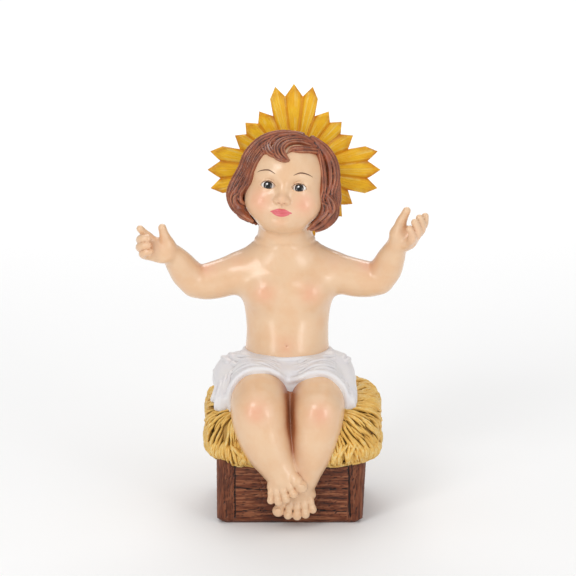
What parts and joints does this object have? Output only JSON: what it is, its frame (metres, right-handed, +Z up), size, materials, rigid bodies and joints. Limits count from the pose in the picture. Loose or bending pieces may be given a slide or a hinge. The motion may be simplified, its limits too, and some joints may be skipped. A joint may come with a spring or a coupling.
{
  "type": "nativity figurine of a seated child",
  "caption": "Painted resin child seated on a straw-topped plank manger, arms held open, loincloth over the thighs, feet crossed on the box, sunburst halo behind the head",
  "frame": {"origin": "middle of the plank box's flat underside", "axes": "+Z up, the child faces -Y, +X to the child's left"},
  "size_m": [0.136, 0.0839, 0.1999],
  "materials": {
    "skin": "satin painted resin",
    "gold": "satin painted resin, ochre gold",
    "hair": "satin painted resin, brown",
    "cloth": "satin painted resin, white",
    "straw": "matt painted resin, straw yellow",
    "wood": "satin painted resin, red-brown wood"
  },
  "bodies": {
    "root": {"seated_child_on_manger": "skin", "halo": "gold"}
  },
  "joints": []
}
